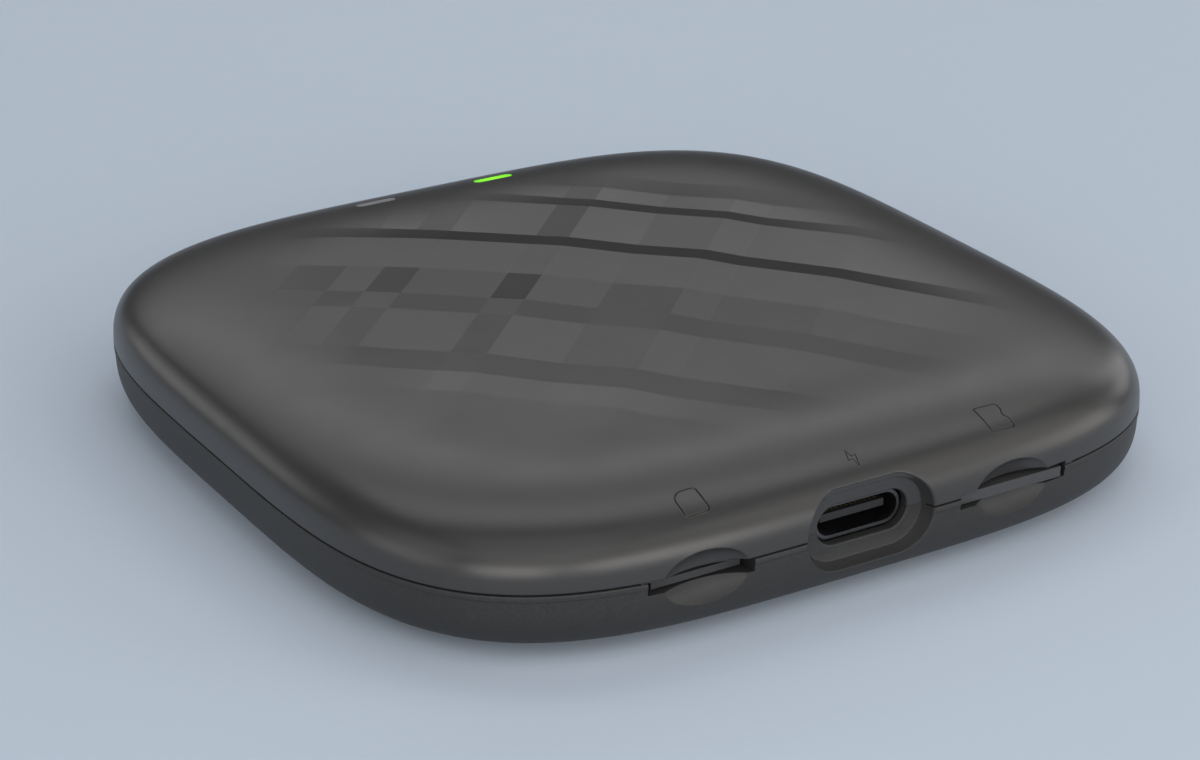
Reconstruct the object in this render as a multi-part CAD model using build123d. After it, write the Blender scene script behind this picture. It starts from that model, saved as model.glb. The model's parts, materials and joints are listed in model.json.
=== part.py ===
from build123d import *
import math
import os

# Mobile hotspot, a rounded square box fed through a USB-C socket in its front.
# Millimetres. X is right, Y is back (the sockets face -Y), Z is up.
# The origin is the middle of the underside, in the plane the rubber pad stands on.

# ---- overall form
HALF = 42.0  # half of the 84 mm side, at the seam
CORNER_POWER = 3.887  # superellipse power of the outline
TOTAL_HEIGHT = 13.0
PAD_STANDOFF = 0.5  # how far the rubber pad stands out of the base
SEAM_Z = 6.7  # where the two halves of the case meet
SIDE_WALL = 1.4
CEILING = 1.3
BASE_WALL = 1.5
TOP_RISE = TOTAL_HEIGHT - SEAM_Z
BASE_DROP = SEAM_Z - PAD_STANDOFF

# shoulder of the lid: (w / half)^LID_P + (rise / height)^LID_Q = 1
LID_P = 8.6
LID_Q = 2.8
# lower edge of the tray: an oval quarter of this radius, with this power
TRAY_RADIUS = 5.0
TRAY_POWER = 3.8

# ---- seam
SEAM_GAP = 0.14
LIP_HEIGHT = 0.9
LIP_HALF = 41.2
LIP_PLAY = 0.05
LIP_BREAK_X = 23.5  # the lip stops short of the sockets in the front
BAND_HEIGHT = 0.55  # plain band of the tray, just under the seam
BAND_STEP = 0.07
BAND_CHAMFER = 0.12

# ---- USB-C socket
PORT_Z = SEAM_Z + 0.2
RECESS_Z = SEAM_Z + 0.05
RECESS_WIDTH = 13.1
RECESS_HEIGHT = 7.2
RECESS_FLOOR_Y = -40.5
RECESS_DRAFT = 0.45
PORT_HOLE_WIDTH = 9.4
PORT_HOLE_HEIGHT = 3.76
SHELL_WIDTH = 8.94
SHELL_HEIGHT = 3.26
SHELL_WALL = 0.3
SHELL_MOUTH_Y = -39.7
SHELL_LENGTH = 7.35
TONGUE_WIDTH = 6.69
TONGUE_THICK = 0.7
CONTACT_PITCH = 0.5

# ---- main board
BOARD_TOP = PORT_Z - 1.63
BOARD_THICK = 1.0
BOARD_HALF = 39.2
BOARD_SIDE_X = 33.0
BOARD_BACK_Y = 38.2
BOARD_BOTTOM = BOARD_TOP - BOARD_THICK

# ---- card sockets
FRONT_WALL_Y = -39.55  # inner face of the thick wall around the sockets
CONNECTOR_FRONT_Y = -39.4
CARD_PLAY = 0.06
COVER_THICK = 0.15
SLIDER_WIDTH = 1.9
SLIDER_PLAY = 0.06
SLIDER_HOOK = 1.6
SLIDER_HOOK_DEEP = 1.2
SLIDER_LENGTH = 6.4
EJECT_TRAVEL = 3.0
OVERTRAVEL = 0.6
SPRING_RADIUS = 0.3
SPRING_WIRE = 0.06
SPRING_TURNS = 9

SIM_X = -16.9
SIM_SLOT_WIDTH = 10.0
SIM_SLOT_TOP = SEAM_Z
SIM_SLOT_BOTTOM = SEAM_Z - 1.15
SIM_WIDTH = 8.8
SIM_LENGTH = 12.3
SIM_THICK = 0.67
SIM_FRONT_Y = -40.5
SIM_BOTTOM = SEAM_Z - 0.93

TF_X = 15.5
TF_SLOT_WIDTH = 12.1
TF_SLOT_TOP = SEAM_Z + 0.5
TF_SLOT_BOTTOM = SEAM_Z - 1.0
TF_WIDTH = 11.0
TF_LENGTH = 15.0
TF_THICK = 0.7
TF_RIM_THICK = 1.0
TF_FRONT_Y = -41.2
TF_BOTTOM = SEAM_Z - 0.88

# thumb scoops cut across both halves in front of the cards
SCOOP_HALF_WIDTH = 4.4
SCOOP_HALF_HEIGHT = 2.7
SCOOP_DEPTH = 1.3
SCOOP_CENTRE_OUT = 1.0
SCOOP_FACE_Y = -41.76

# ---- light bars
BAR_X = 6.9
BAR_Y = 35.7
BAR_LENGTH = 4.4
BAR_WIDTH = 1.15
BAR_BOTTOM = 9.9

# ---- fasteners and base pad
SCREW_X = 24.0
SCREW_Y = 20.0
SCREW_RADIUS = 0.9
SCREW_HEAD_RADIUS = 1.5
SCREW_HEAD_THICK = 0.9
SCREW_SEAT_Z = 2.05
SCREW_TIP_Z = 8.6
BOSS_RADIUS = 2.2
PAD_HALF = 29.0
PAD_THICK = 1.0
PAD_RECESS = 0.5

OUTLINE_POINTS = 48


# ---- helpers
def ring_radius(angle):
    c = abs(math.cos(angle)) ** CORNER_POWER
    s = abs(math.sin(angle)) ** CORNER_POWER
    return (c + s) ** (-1 / CORNER_POWER)


def outline(half, z):
    """Closed superellipse of a given half side, lying at height z."""
    points = []
    for i in range(OUTLINE_POINTS):
        a = 2 * math.pi * i / OUTLINE_POINTS
        r = half * ring_radius(a)
        points.append((r * math.cos(a), r * math.sin(a), z))
    return Wire([Edge.make_spline(points, periodic=True)])


def prism(half, z0, z1):
    """Upright superellipse slab."""
    return Solid.extrude(Face(outline(half, z0)), Vector(0, 0, z1 - z0))


def block(x0, x1, y0, y1, z0, z1):
    """Box from its six faces."""
    size = Box(x1 - x0, y1 - y0, z1 - z0)
    return Pos((x0 + x1) / 2, (y0 + y1) / 2, (z0 + z1) / 2) * size


def post(x, y, radius, z0, z1):
    """Upright round post."""
    return Pos(x, y, (z0 + z1) / 2) * Cylinder(radius, z1 - z0)


def across(width, height, y0, y1, x, z):
    """Stadium running along Y."""
    sketch = SlotOverall(width, height)
    plane = Plane(origin=(x, y0, z), x_dir=(1, 0, 0), z_dir=(0, 1, 0))
    return extrude(plane * sketch, y1 - y0)


def upright(width, height, x, y, z0, z1):
    """Stadium running along Z."""
    return extrude(Pos(x, y, z0) * SlotOverall(width, height), z1 - z0)


def together(parts):
    """Separate solids kept as one group."""
    solids = []
    for p in parts:
        solids.extend(p.solids())
    return Compound(children=solids)


def lid_level(half, rise, t):
    w = half * max(0.0, 1 - t**LID_Q) ** (1 / LID_P)
    return w, SEAM_Z + rise * t


LID_STEPS = (0.0, 0.16, 0.32, 0.46, 0.59, 0.7, 0.79, 0.865, 0.92, 0.957, 0.981, 0.9945)


def lid_form(half, rise, start=0.0):
    """Solid dome of the lid, from the seam up."""
    wires = []
    for t in LID_STEPS:
        w, z = lid_level(half, rise, t)
        wires.append(outline(w, z))
    wires.append(outline(half * 0.5, SEAM_Z + rise))
    dome = Solid.make_loft(wires)
    if start:
        dome = dome - block(-50, 50, -50, 50, SEAM_Z - 5, SEAM_Z + start)
    return dome


TRAY_STEPS = (0.0, 0.3, 0.5, 0.65, 0.77, 0.86, 0.925, 0.965, 0.988, 1.0)


def tray_form(half, drop, radius, top_z):
    """Solid form of the tray, from top_z down to its flat base."""
    wires = []
    for u in TRAY_STEPS:
        inward = radius * (1 - math.sqrt(max(0.0, 1 - u**TRAY_POWER)))
        wires.append(outline(half - inward, SEAM_Z - drop * u))
    form = Solid.make_loft(list(reversed(wires)))
    if top_z < SEAM_Z:
        form = form - block(-50, 50, -50, 50, top_z, SEAM_Z + 5)
    return form


# ---- cuts shared by both halves of the case
def port_recess():
    """Flared well that a plug's moulding sinks into."""
    y_out = -43.0
    grow = RECESS_DRAFT * (RECESS_FLOOR_Y - y_out) / 1.5
    inner = Plane(origin=(0, RECESS_FLOOR_Y, RECESS_Z), x_dir=(1, 0, 0), z_dir=(0, 1, 0))
    outer = Plane(origin=(0, y_out, RECESS_Z), x_dir=(1, 0, 0), z_dir=(0, 1, 0))
    width = RECESS_WIDTH - 2 * RECESS_DRAFT
    height = RECESS_HEIGHT - 2 * RECESS_DRAFT
    small = inner * SlotOverall(width, height)
    large = outer * SlotOverall(width + 2 * grow, height + 2 * grow)
    return loft([large.face(), small.face()], ruled=True)


def port_hole():
    return across(PORT_HOLE_WIDTH, PORT_HOLE_HEIGHT, -41.5, -38.0, 0, PORT_Z)


def thumb_scoop(x, z):
    """Oval hollow for a fingertip or nail."""
    deep = SCOOP_CENTRE_OUT + SCOOP_DEPTH
    share = math.sqrt(1 - (SCOOP_CENTRE_OUT / deep) ** 2)
    ball = scale(Sphere(1), by=(SCOOP_HALF_WIDTH / share, deep, SCOOP_HALF_HEIGHT / share))
    return Pos(x, SCOOP_FACE_Y - SCOOP_CENTRE_OUT, z) * ball


def card_slot(x, width, z0, z1):
    return block(x - width / 2, x + width / 2, -44, -38, z0, z1)


SIM_SLOT_MID = (SIM_SLOT_TOP + SIM_SLOT_BOTTOM) / 2
TF_SLOT_MID = (TF_SLOT_TOP + TF_SLOT_BOTTOM) / 2


def front_cuts():
    cuts = [port_recess(), port_hole()]
    cuts.append(thumb_scoop(SIM_X, SIM_SLOT_MID))
    cuts.append(thumb_scoop(TF_X, TF_SLOT_MID))
    cuts.append(card_slot(SIM_X, SIM_SLOT_WIDTH, SIM_SLOT_BOTTOM, SIM_SLOT_TOP))
    cuts.append(card_slot(TF_X, TF_SLOT_WIDTH, TF_SLOT_BOTTOM, TF_SLOT_TOP))
    return cuts


def front_blocks(z0, z1):
    """Thick places left in the front wall behind the sockets' openings."""
    port = block(-7.6, 7.6, -42, FRONT_WALL_Y, z0, z1)
    sim = block(SIM_X - 6.0, SIM_X + 6.0, -42, FRONT_WALL_Y, z0, z1)
    tf = block(TF_X - 6.6, TF_X + 6.6, -42, FRONT_WALL_Y, z0, z1)
    return port + sim + tf


def lip_break(play):
    """Stretch of the front where the lip gives way to the sockets."""
    x = LIP_BREAK_X + play
    return block(-x, x, -45, FRONT_WALL_Y + 0.3 + play, SEAM_Z, SEAM_Z + 3)


# ---- case
def top_shell():
    body = lid_form(HALF, TOP_RISE, SEAM_GAP)
    hollow = lid_form(HALF - SIDE_WALL, TOP_RISE - CEILING)
    hollow = hollow - front_blocks(SEAM_Z - 1, SEAM_Z + 4.6)
    body = body - hollow
    rabbet = prism(LIP_HALF + LIP_PLAY, SEAM_Z - 1, SEAM_Z + LIP_HEIGHT)
    body = body - (rabbet - lip_break(0))
    body = body + (block(-22.5, 22.5, -40.95, FRONT_WALL_Y, SEAM_Z, SEAM_Z + 0.4))
    for x in (-SCREW_X, SCREW_X):
        for y in (-SCREW_Y, SCREW_Y):
            body = body + post(x, y, BOSS_RADIUS, BOARD_TOP, TOTAL_HEIGHT - 1.0)
    for x in (-SCREW_X, SCREW_X):
        for y in (-SCREW_Y, SCREW_Y):
            body = body - post(x, y, SCREW_RADIUS + 0.02, BOARD_TOP - 1, SCREW_TIP_Z + 0.4)
    for cut in front_cuts():
        body = body - cut
    for x in (-BAR_X, BAR_X):
        body = body - upright(BAR_LENGTH + 0.08, BAR_WIDTH + 0.08, x, BAR_Y, 9.0, 14.0)
    return body


def bottom_shell():
    step_z = SEAM_Z - BAND_HEIGHT
    body = tray_form(HALF - BAND_STEP, BASE_DROP, TRAY_RADIUS, step_z)
    band = prism(HALF, step_z, SEAM_Z - BAND_CHAMFER)
    edge_low = outline(HALF, SEAM_Z - BAND_CHAMFER)
    edge_high = outline(HALF - BAND_CHAMFER, SEAM_Z)
    body = body + band + Solid.make_loft([edge_low, edge_high], ruled=True)
    body = body + (prism(LIP_HALF, SEAM_Z - 0.5, SEAM_Z + LIP_HEIGHT) - lip_break(0.1))
    well = tray_form(HALF - SIDE_WALL, SEAM_Z - PAD_STANDOFF - BASE_WALL, TRAY_RADIUS - 1.2, SEAM_Z)
    mouth = prism(HALF - SIDE_WALL, SEAM_Z - 0.01, SEAM_Z + 2)
    hollow = well + mouth
    hollow = hollow - front_blocks(0, SEAM_Z + 2)
    body = body - hollow
    floor_z = PAD_STANDOFF + BASE_WALL
    for x in (-SCREW_X, SCREW_X):
        for y in (-SCREW_Y, SCREW_Y):
            body = body + post(x, y, BOSS_RADIUS, floor_z - 0.3, BOARD_BOTTOM)
    # rests for the heat spreader and the antennas
    for x in (-14, 14):
        body = body + block(x - 0.6, x + 0.6, -20, 20, floor_z - 0.2, SPREADER_BOTTOM)
    for side in (-1, 1):
        for y in (-12, 12):
            x = side * ANTENNA_X
            body = body + block(x - 1.3, x + 1.3, y - 1, y + 1, floor_z - 0.3, 4.0)
    for side in (-1, 1):
        x = side * ANTENNA_X
        half = ANTENNA_THICK / 2 + 0.02
        body = body - block(x - half, x + half, -23, 23, ANTENNA_BOTTOM, 5.0)
    body = body - prism(PAD_HALF + 0.1, -1, PAD_STANDOFF + PAD_RECESS)
    for x in (-SCREW_X, SCREW_X):
        for y in (-SCREW_Y, SCREW_Y):
            body = body - post(x, y, SCREW_RADIUS + 0.15, 0, 6)
            body = body - post(x, y, SCREW_HEAD_RADIUS + 0.15, 0, SCREW_SEAT_Z)
    for cut in front_cuts():
        body = body - cut
    return body


def base_pad():
    """Soft non-slip pad let into the underside, over the screws."""
    pad = prism(PAD_HALF, 0.0, PAD_THICK)
    edges = pad.edges().group_by(Axis.Z)[0]
    return pad.chamfer(0.2, None, edges)


def case_screw(x, y):
    head = post(x, y, SCREW_HEAD_RADIUS, SCREW_SEAT_Z - SCREW_HEAD_THICK, SCREW_SEAT_Z)
    shank = post(x, y, SCREW_RADIUS, SCREW_SEAT_Z, SCREW_TIP_Z)
    tip = shank.edges().group_by(Axis.Z)[-1]
    shank = chamfer(tip, 0.25)
    screw = head + shank
    low = SCREW_SEAT_Z - SCREW_HEAD_THICK
    screw = screw - block(x - 0.95, x + 0.95, y - 0.18, y + 0.18, low - 0.1, low + 0.5)
    return screw - block(x - 0.18, x + 0.18, y - 0.95, y + 0.95, low - 0.1, low + 0.5)


def case_screws():
    return together([case_screw(x, y) for x in (-SCREW_X, SCREW_X) for y in (-SCREW_Y, SCREW_Y)])


# ---- status lights
def light_bar(x):
    """Clear bar, flush with the lid, with a foot that the baffle holds."""
    bar = upright(BAR_LENGTH, BAR_WIDTH, x, BAR_Y, BAR_BOTTOM, 14.0)
    bar = bar & lid_form(HALF, TOP_RISE)
    foot = upright(BAR_LENGTH + 1.2, BAR_WIDTH + 1.2, x, BAR_Y, BAR_BOTTOM, BAR_BOTTOM + 0.5)
    return bar + foot


def light_baffle():
    """Black block that keeps the two lights apart."""
    body = block(-11, 11, BAR_Y - 2.2, BAR_Y + 1.9, BOARD_TOP, BAR_BOTTOM)
    for x in (-BAR_X, BAR_X):
        body = body - upright(BAR_LENGTH + 0.2, BAR_WIDTH + 0.6, x, BAR_Y, 5, 11)
    return body


def status_leds():
    y0 = BAR_Y - 0.4
    y1 = BAR_Y + 0.4
    z1 = BOARD_TOP + 0.5
    return together([block(x - 0.8, x + 0.8, y0, y1, BOARD_TOP, z1) for x in (-BAR_X, BAR_X)])


# ---- board
def main_board():
    board = prism(BOARD_HALF, BOARD_BOTTOM, BOARD_TOP)
    board = board & block(-BOARD_SIDE_X, BOARD_SIDE_X, FRONT_WALL_Y + 0.15, BOARD_BACK_Y, 0, 9)
    for x in (-SCREW_X, SCREW_X):
        for y in (-SCREW_Y, SCREW_Y):
            board = board - post(x, y, SCREW_RADIUS + 0.15, 0, 9)
    for x, y in shell_tabs():
        board = board - block(x - 0.3, x + 0.3, y - 0.65, y + 0.65, 0, 9)
    return board


# ---- USB-C socket
def shell_tabs():
    x = SHELL_WIDTH / 2 - 0.15
    return [(s * x, SHELL_MOUTH_Y + d) for s in (-1, 1) for d in (1.6, 5.8)]


def usb_c_shell():
    y0 = SHELL_MOUTH_Y
    y1 = SHELL_MOUTH_Y + SHELL_LENGTH
    body = across(SHELL_WIDTH, SHELL_HEIGHT, y0, y1, 0, PORT_Z)
    for x, y in shell_tabs():
        tab = block(x - 0.15, x + 0.15, y - 0.5, y + 0.5, BOARD_BOTTOM - 0.4, PORT_Z)
        body = body + tab
    inner_w = SHELL_WIDTH - 2 * SHELL_WALL
    inner_h = SHELL_HEIGHT - 2 * SHELL_WALL
    return body - across(inner_w, inner_h, y0 - 1, y1 + 1, 0, PORT_Z)


def contact_places():
    return [(i - 5.5) * CONTACT_PITCH for i in range(12)]


def usb_c_insulator():
    y1 = SHELL_MOUTH_Y + SHELL_LENGTH
    back = across(SHELL_WIDTH - 2 * SHELL_WALL, SHELL_HEIGHT - 2 * SHELL_WALL, y1 - 2.2, y1, 0, PORT_Z)
    y0 = SHELL_MOUTH_Y + 0.8
    half = TONGUE_THICK / 2
    tongue = block(-TONGUE_WIDTH / 2, TONGUE_WIDTH / 2, y0, y1 - 2.2, PORT_Z - half, PORT_Z + half)
    body = back + tongue
    for x in contact_places():
        for s in (-1, 1):
            z = PORT_Z + s * half
            body = body - block(x - 0.12, x + 0.12, y0 + 0.5, y1 - 2.2, z - 0.08, z + 0.08)
    return body


def usb_c_contacts():
    """Gold strips let into both faces of the tongue."""
    y0 = SHELL_MOUTH_Y + 1.3
    y1 = SHELL_MOUTH_Y + SHELL_LENGTH - 2.2
    strips = []
    for x in contact_places():
        for s in (-1, 1):
            z = PORT_Z + s * (TONGUE_THICK / 2 - 0.03)
            strips.append(block(x - 0.12, x + 0.12, y0, y1, z - 0.05, z + 0.05))
    return together(strips)


# ---- push-push card sockets
# Each socket is described by its card: centre x, width, card's inner end y,
# card's underside z and thickness. The slider runs along the card's left side.
class Socket:
    def __init__(self, x, width, card_back, card_bottom, thick, contacts):
        self.x = x
        self.width = width
        self.back = card_back
        self.bottom = card_bottom
        self.thick = thick
        self.contacts = contacts
        self.left = x - width / 2
        self.right = x + width / 2
        self.channel_right = self.left - SLIDER_PLAY
        self.channel_left = self.left - SLIDER_PLAY - SLIDER_WIDTH - 2 * SLIDER_PLAY
        self.hook_y = card_back + 0.01
        self.hook_back = self.hook_y + SLIDER_HOOK_DEEP
        self.wall_y = self.hook_back + OVERTRAVEL + 0.15
        self.end_y = self.wall_y + 0.6
        self.floor_z = card_bottom - CARD_PLAY
        self.roof_z = card_bottom + thick + 0.12
        self.outer_left = self.channel_left - 0.5
        self.outer_right = self.right + CARD_PLAY + 0.5
        self.spring_x = self.channel_left + SLIDER_PLAY + 1.25
        self.spring_z = (self.floor_z + self.roof_z) / 2
        self.pin_x = self.channel_left + SLIDER_PLAY + 0.4
        self.slider_front = self.hook_back - SLIDER_LENGTH
        self.stop_y = self.slider_front - EJECT_TRAVEL - 0.05
        self.track_y = self.hook_back - 5.2
        self.pin_foot_y = self.stop_y - 0.4


SIM = Socket(SIM_X, SIM_WIDTH, SIM_FRONT_Y + SIM_LENGTH, SIM_BOTTOM, SIM_THICK, 6)
TF = Socket(TF_X, TF_WIDTH, TF_FRONT_Y + TF_LENGTH, TF_BOTTOM, TF_THICK, 8)


def contact_rows(s):
    """Middle x and y of each contact spring."""
    if s.contacts == 6:
        return [(s.x + dx, s.back - dy) for dx in (-2.54, 0, 2.54) for dy in (3.0, 8.4)]
    return [(s.x - 3.85 + 1.1 * i, s.back - 2.2) for i in range(8)]


def socket_corner(s):
    """Notch in the front corner that keeps clear of the case's rounded wall."""
    x0 = s.outer_left - 1
    x1 = s.outer_left + 0.45
    return block(x0, x1, CONNECTOR_FRONT_Y - 1, CONNECTOR_FRONT_Y + 0.5, BOARD_TOP - 1, s.roof_z + 2)


def socket_base(s):
    """Moulded tray: floor, side walls, back wall and slider channel."""
    body = block(s.outer_left, s.outer_right, CONNECTOR_FRONT_Y, s.end_y, BOARD_TOP, s.floor_z)
    body = body + block(s.outer_left, s.channel_left, CONNECTOR_FRONT_Y, s.end_y, BOARD_TOP, s.roof_z)
    body = body + block(s.right + CARD_PLAY, s.outer_right, CONNECTOR_FRONT_Y, s.end_y, BOARD_TOP, s.roof_z)
    body = body + block(s.outer_left, s.outer_right, s.wall_y, s.end_y, BOARD_TOP, s.roof_z)
    # stop for the slider, with a notch and a hole for the cam pin
    body = body + block(s.channel_left, s.channel_right, CONNECTOR_FRONT_Y, s.stop_y, BOARD_TOP, s.roof_z)
    pin = s.pin_x
    body = body - block(pin - 0.15, pin + 0.15, s.pin_foot_y, s.stop_y + 1, s.roof_z - 0.25, s.roof_z + 1)
    body = body - post(pin, s.pin_foot_y, 0.15, BOARD_TOP + 0.1, s.roof_z + 1)
    # post that carries the spring's inner end
    nib = Pos(s.spring_x, s.wall_y - 0.3, s.spring_z) * Rot(90, 0, 0) * Cylinder(0.2, 0.8)
    body = body + nib
    for x, y in contact_rows(s):
        body = body - block(x - 0.35, x + 0.35, y - 1.0, y + 1.0, BOARD_TOP - 1, s.floor_z + 1)
    return body - socket_corner(s)


def socket_cover(s):
    """Pressed metal lid with ears folded down the sides."""
    z0 = s.roof_z
    z1 = s.roof_z + COVER_THICK
    front = CONNECTOR_FRONT_Y + 0.1
    body = block(s.outer_left, s.outer_right, front, s.end_y, z0, z1)
    for x0, x1 in ((s.outer_left - COVER_THICK, s.outer_left), (s.outer_right, s.outer_right + COVER_THICK)):
        body = body + block(x0, x1, front + 0.6, s.end_y - 0.8, BOARD_TOP, z1)
    # windows pressed through the lid over the contacts and the slider
    body = body - block(s.x - 2.6, s.x + 2.6, s.back - 5.2, s.back - 3.6, z0 - 1, z1 + 1)
    body = body - block(s.pin_x - 0.25, s.pin_x + 0.25, s.track_y - 2.4, s.track_y - 1.2, z0 - 1, z1 + 1)
    return body - socket_corner(s)


def socket_contacts(s):
    """Bent springs that press on the pads under the card."""
    strips = []
    for x, y in contact_rows(s):
        foot = block(x - 0.2, x + 0.2, y - 0.9, y - 0.3, BOARD_TOP, BOARD_TOP + 0.12)
        rise = s.bottom - 0.03 - 0.1 - BOARD_TOP
        points = [
            (y - 0.4, BOARD_TOP),
            (y - 0.3, BOARD_TOP),
            (y + 0.5, BOARD_TOP + rise),
            (y + 0.75, BOARD_TOP + rise),
            (y + 0.75, BOARD_TOP + rise + 0.1),
            (y + 0.4, BOARD_TOP + rise + 0.1),
            (y - 0.4, BOARD_TOP + 0.12),
        ]
        plane = Plane(origin=(x - 0.2, 0, 0), x_dir=(0, 1, 0), z_dir=(1, 0, 0))
        arm = extrude(plane * make_face(Polyline(points, close=True)), 0.4)
        strips.append(foot + arm)
    return together(strips)


def socket_slider(s):
    """L-shaped slider with a spring pocket and a heart-shaped cam track."""
    x0 = s.channel_left + SLIDER_PLAY
    x1 = x0 + SLIDER_WIDTH
    z0 = s.floor_z + 0.04
    z1 = s.roof_z - 0.04
    y0 = s.slider_front
    body = block(x0, x1, y0, s.hook_back, z0, z1)
    body = body + block(x0, s.left + SLIDER_HOOK, s.hook_y, s.hook_back, z0, z1)
    pocket = SPRING_RADIUS + SPRING_WIRE + 0.05
    body = body - block(s.spring_x - pocket, s.spring_x + pocket, y0 + 1.0, s.hook_back + 1, z0 - 1, z1 + 1)
    track = block(s.pin_x - 0.22, s.pin_x + 0.22, s.track_y - 1.0, s.track_y + 3.5, z1 - 0.4, z1 + 1)
    entry = block(s.pin_x - 0.22, s.pin_x + 0.22, y0 - 1, s.track_y, z1 - 0.2, z1 + 1)
    return body - track - entry


def socket_spring(s):
    """Compression spring that pushes the slider out."""
    start = s.hook_back - 5.35
    length = s.wall_y - 0.02 - start - SPRING_WIRE
    pitch = length / SPRING_TURNS
    path = Helix(pitch, length, SPRING_RADIUS, center=(s.spring_x, start, s.spring_z), direction=(0, 1, 0))
    profile = Plane(origin=path @ 0, z_dir=path % 0) * Circle(SPRING_WIRE)
    return sweep(profile, path, is_frenet=True)


def socket_pin(s):
    """Cam pin: one foot in the base, the other hanging in the slider's track."""
    z = s.roof_z - 0.1
    r = 0.08
    foot_y = s.pin_foot_y
    head_y = s.track_y
    low = BOARD_TOP + 0.2
    bar = Pos(s.pin_x, (foot_y + head_y) / 2, z) * Rot(90, 0, 0) * Cylinder(r, head_y - foot_y)
    foot = post(s.pin_x, foot_y, r, low, z)
    head = post(s.pin_x, head_y, r, z - 0.26, z)
    ends = Pos(s.pin_x, foot_y, z) * Sphere(r) + Pos(s.pin_x, head_y, z) * Sphere(r)
    return bar + foot + head + ends


def sim_card():
    """Cut-down SIM with one corner taken off, and room for its pads below."""
    x0 = SIM_X - SIM_WIDTH / 2
    x1 = SIM_X + SIM_WIDTH / 2
    y0 = SIM_FRONT_Y
    y1 = SIM_FRONT_Y + SIM_LENGTH
    points = [(x0, y0), (x1, y0), (x1, y1 - 1.65), (x1 - 1.65, y1), (x0, y1)]
    card = extrude(Pos(0, 0, SIM_BOTTOM) * make_face(Polyline(points, close=True)), SIM_THICK)
    return card - sim_pad_slab()


def sim_pad_slab():
    y1 = SIM_FRONT_Y + SIM_LENGTH
    return block(SIM_X - 3.9, SIM_X + 3.9, y1 - 10.3, y1 - 1.9, SIM_BOTTOM, SIM_BOTTOM + 0.05)


def sim_card_pads():
    """Gold plate divided into its contact fields."""
    pads = sim_pad_slab()
    y1 = SIM_FRONT_Y + SIM_LENGTH
    z0 = SIM_BOTTOM - 1
    z1 = SIM_BOTTOM + 0.03
    for dx in (-1.27, 1.27):
        x = SIM_X + dx
        pads = pads - block(x - 0.08, x + 0.08, y1 - 9.6, y1 - 2.6, z0, z1)
    for back in (4.5, 7.2):
        y = y1 - back
        pads = pads - block(SIM_X - 3.3, SIM_X + 3.3, y - 0.08, y + 0.08, z0, z1)
    return pads


def tf_card():
    """Memory card: stepped side, and a raised rim to pull it by."""
    x0 = TF_X - TF_WIDTH / 2
    x1 = TF_X + TF_WIDTH / 2
    y0 = TF_FRONT_Y
    y1 = TF_FRONT_Y + TF_LENGTH
    points = [
        (x0, y0),
        (x1, y0),
        (x1, y0 + 7.4),
        (x1 - 0.7, y0 + 8.1),
        (x1 - 0.7, y0 + 9.6),
        (x1 - 0.1, y0 + 10.2),
        (x1 - 1.2, y1),
        (x0, y1),
    ]
    card = extrude(Pos(0, 0, TF_BOTTOM) * make_face(Polyline(points, close=True)), TF_THICK)
    card = card + block(x0, x1, y0, y0 + 1.2, TF_BOTTOM, TF_BOTTOM + TF_RIM_THICK)
    for pad in tf_pad_boxes():
        card = card - pad
    return card


def tf_pad_boxes():
    y1 = TF_FRONT_Y + TF_LENGTH
    boxes = []
    for i in range(8):
        x = TF_X - 3.85 + 1.1 * i
        boxes.append(block(x - 0.4, x + 0.4, y1 - 3.6, y1 - 0.7, TF_BOTTOM, TF_BOTTOM + 0.05))
    return boxes


def tf_card_pads():
    return together(tf_pad_boxes())


# ---- electronics
SPREADER_BOTTOM = 2.5
SPREADER_THICK = 0.8
ANTENNA_X = 36.0
ANTENNA_THICK = 0.8
ANTENNA_BOTTOM = 2.6
ANTENNA_TOP = 9.4


def chip(x, y, w, d, h):
    """Square package with bevelled upper edges, standing on the board."""
    body = block(x - w / 2, x + w / 2, y - d / 2, y + d / 2, BOARD_TOP, BOARD_TOP + h)
    return chamfer(body.edges().group_by(Axis.Z)[-1], 0.1)


def shield_can(x0, x1, y0, y1, h):
    """Thin pressed can, open below, with rows of vent holes."""
    wall = 0.2
    body = block(x0, x1, y0, y1, BOARD_TOP, BOARD_TOP + h)
    body = fillet(body.edges().filter_by(Axis.Z), 0.8)
    body = body - block(x0 + wall, x1 - wall, y0 + wall, y1 - wall, BOARD_TOP - 1, BOARD_TOP + h - wall)
    nx = int((x1 - x0) // 6)
    ny = int((y1 - y0) // 6)
    for i in range(nx):
        for j in range(ny):
            hx = x0 + (i + 0.5) * (x1 - x0) / nx
            hy = y0 + (j + 0.5) * (y1 - y0) / ny
            body = body - post(hx, hy, 0.6, BOARD_TOP + h - 1, BOARD_TOP + h + 1)
    return body


def thermal_pad():
    return block(-9, 9, -13, 5, SPREADER_BOTTOM + SPREADER_THICK, BOARD_BOTTOM)


def heat_spreader():
    """Aluminium sheet under the board, with clearance around the posts."""
    top = SPREADER_BOTTOM + SPREADER_THICK
    sheet = block(-28, 28, -25, 25, SPREADER_BOTTOM, top)
    sheet = fillet(sheet.edges().filter_by(Axis.Z), 4)
    for x in (-SCREW_X, SCREW_X):
        for y in (-SCREW_Y, SCREW_Y):
            sheet = sheet - post(x, y, BOSS_RADIUS + 0.2, 0, 9)
    return sheet


def antenna(side):
    """Upright printed antenna standing in slots of the tray."""
    x = side * ANTENNA_X
    half = ANTENNA_THICK / 2
    body = block(x - half, x + half, -22, 22, ANTENNA_BOTTOM, ANTENNA_TOP)
    for i in range(5):
        y = -16 + 7 * i
        z0 = ANTENNA_TOP - 2.6 if i % 2 else ANTENNA_TOP - 1.4
        body = body - block(x - 1, x + 1, y - 0.5, y + 0.5, z0, ANTENNA_TOP + 1)
    return body


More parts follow.
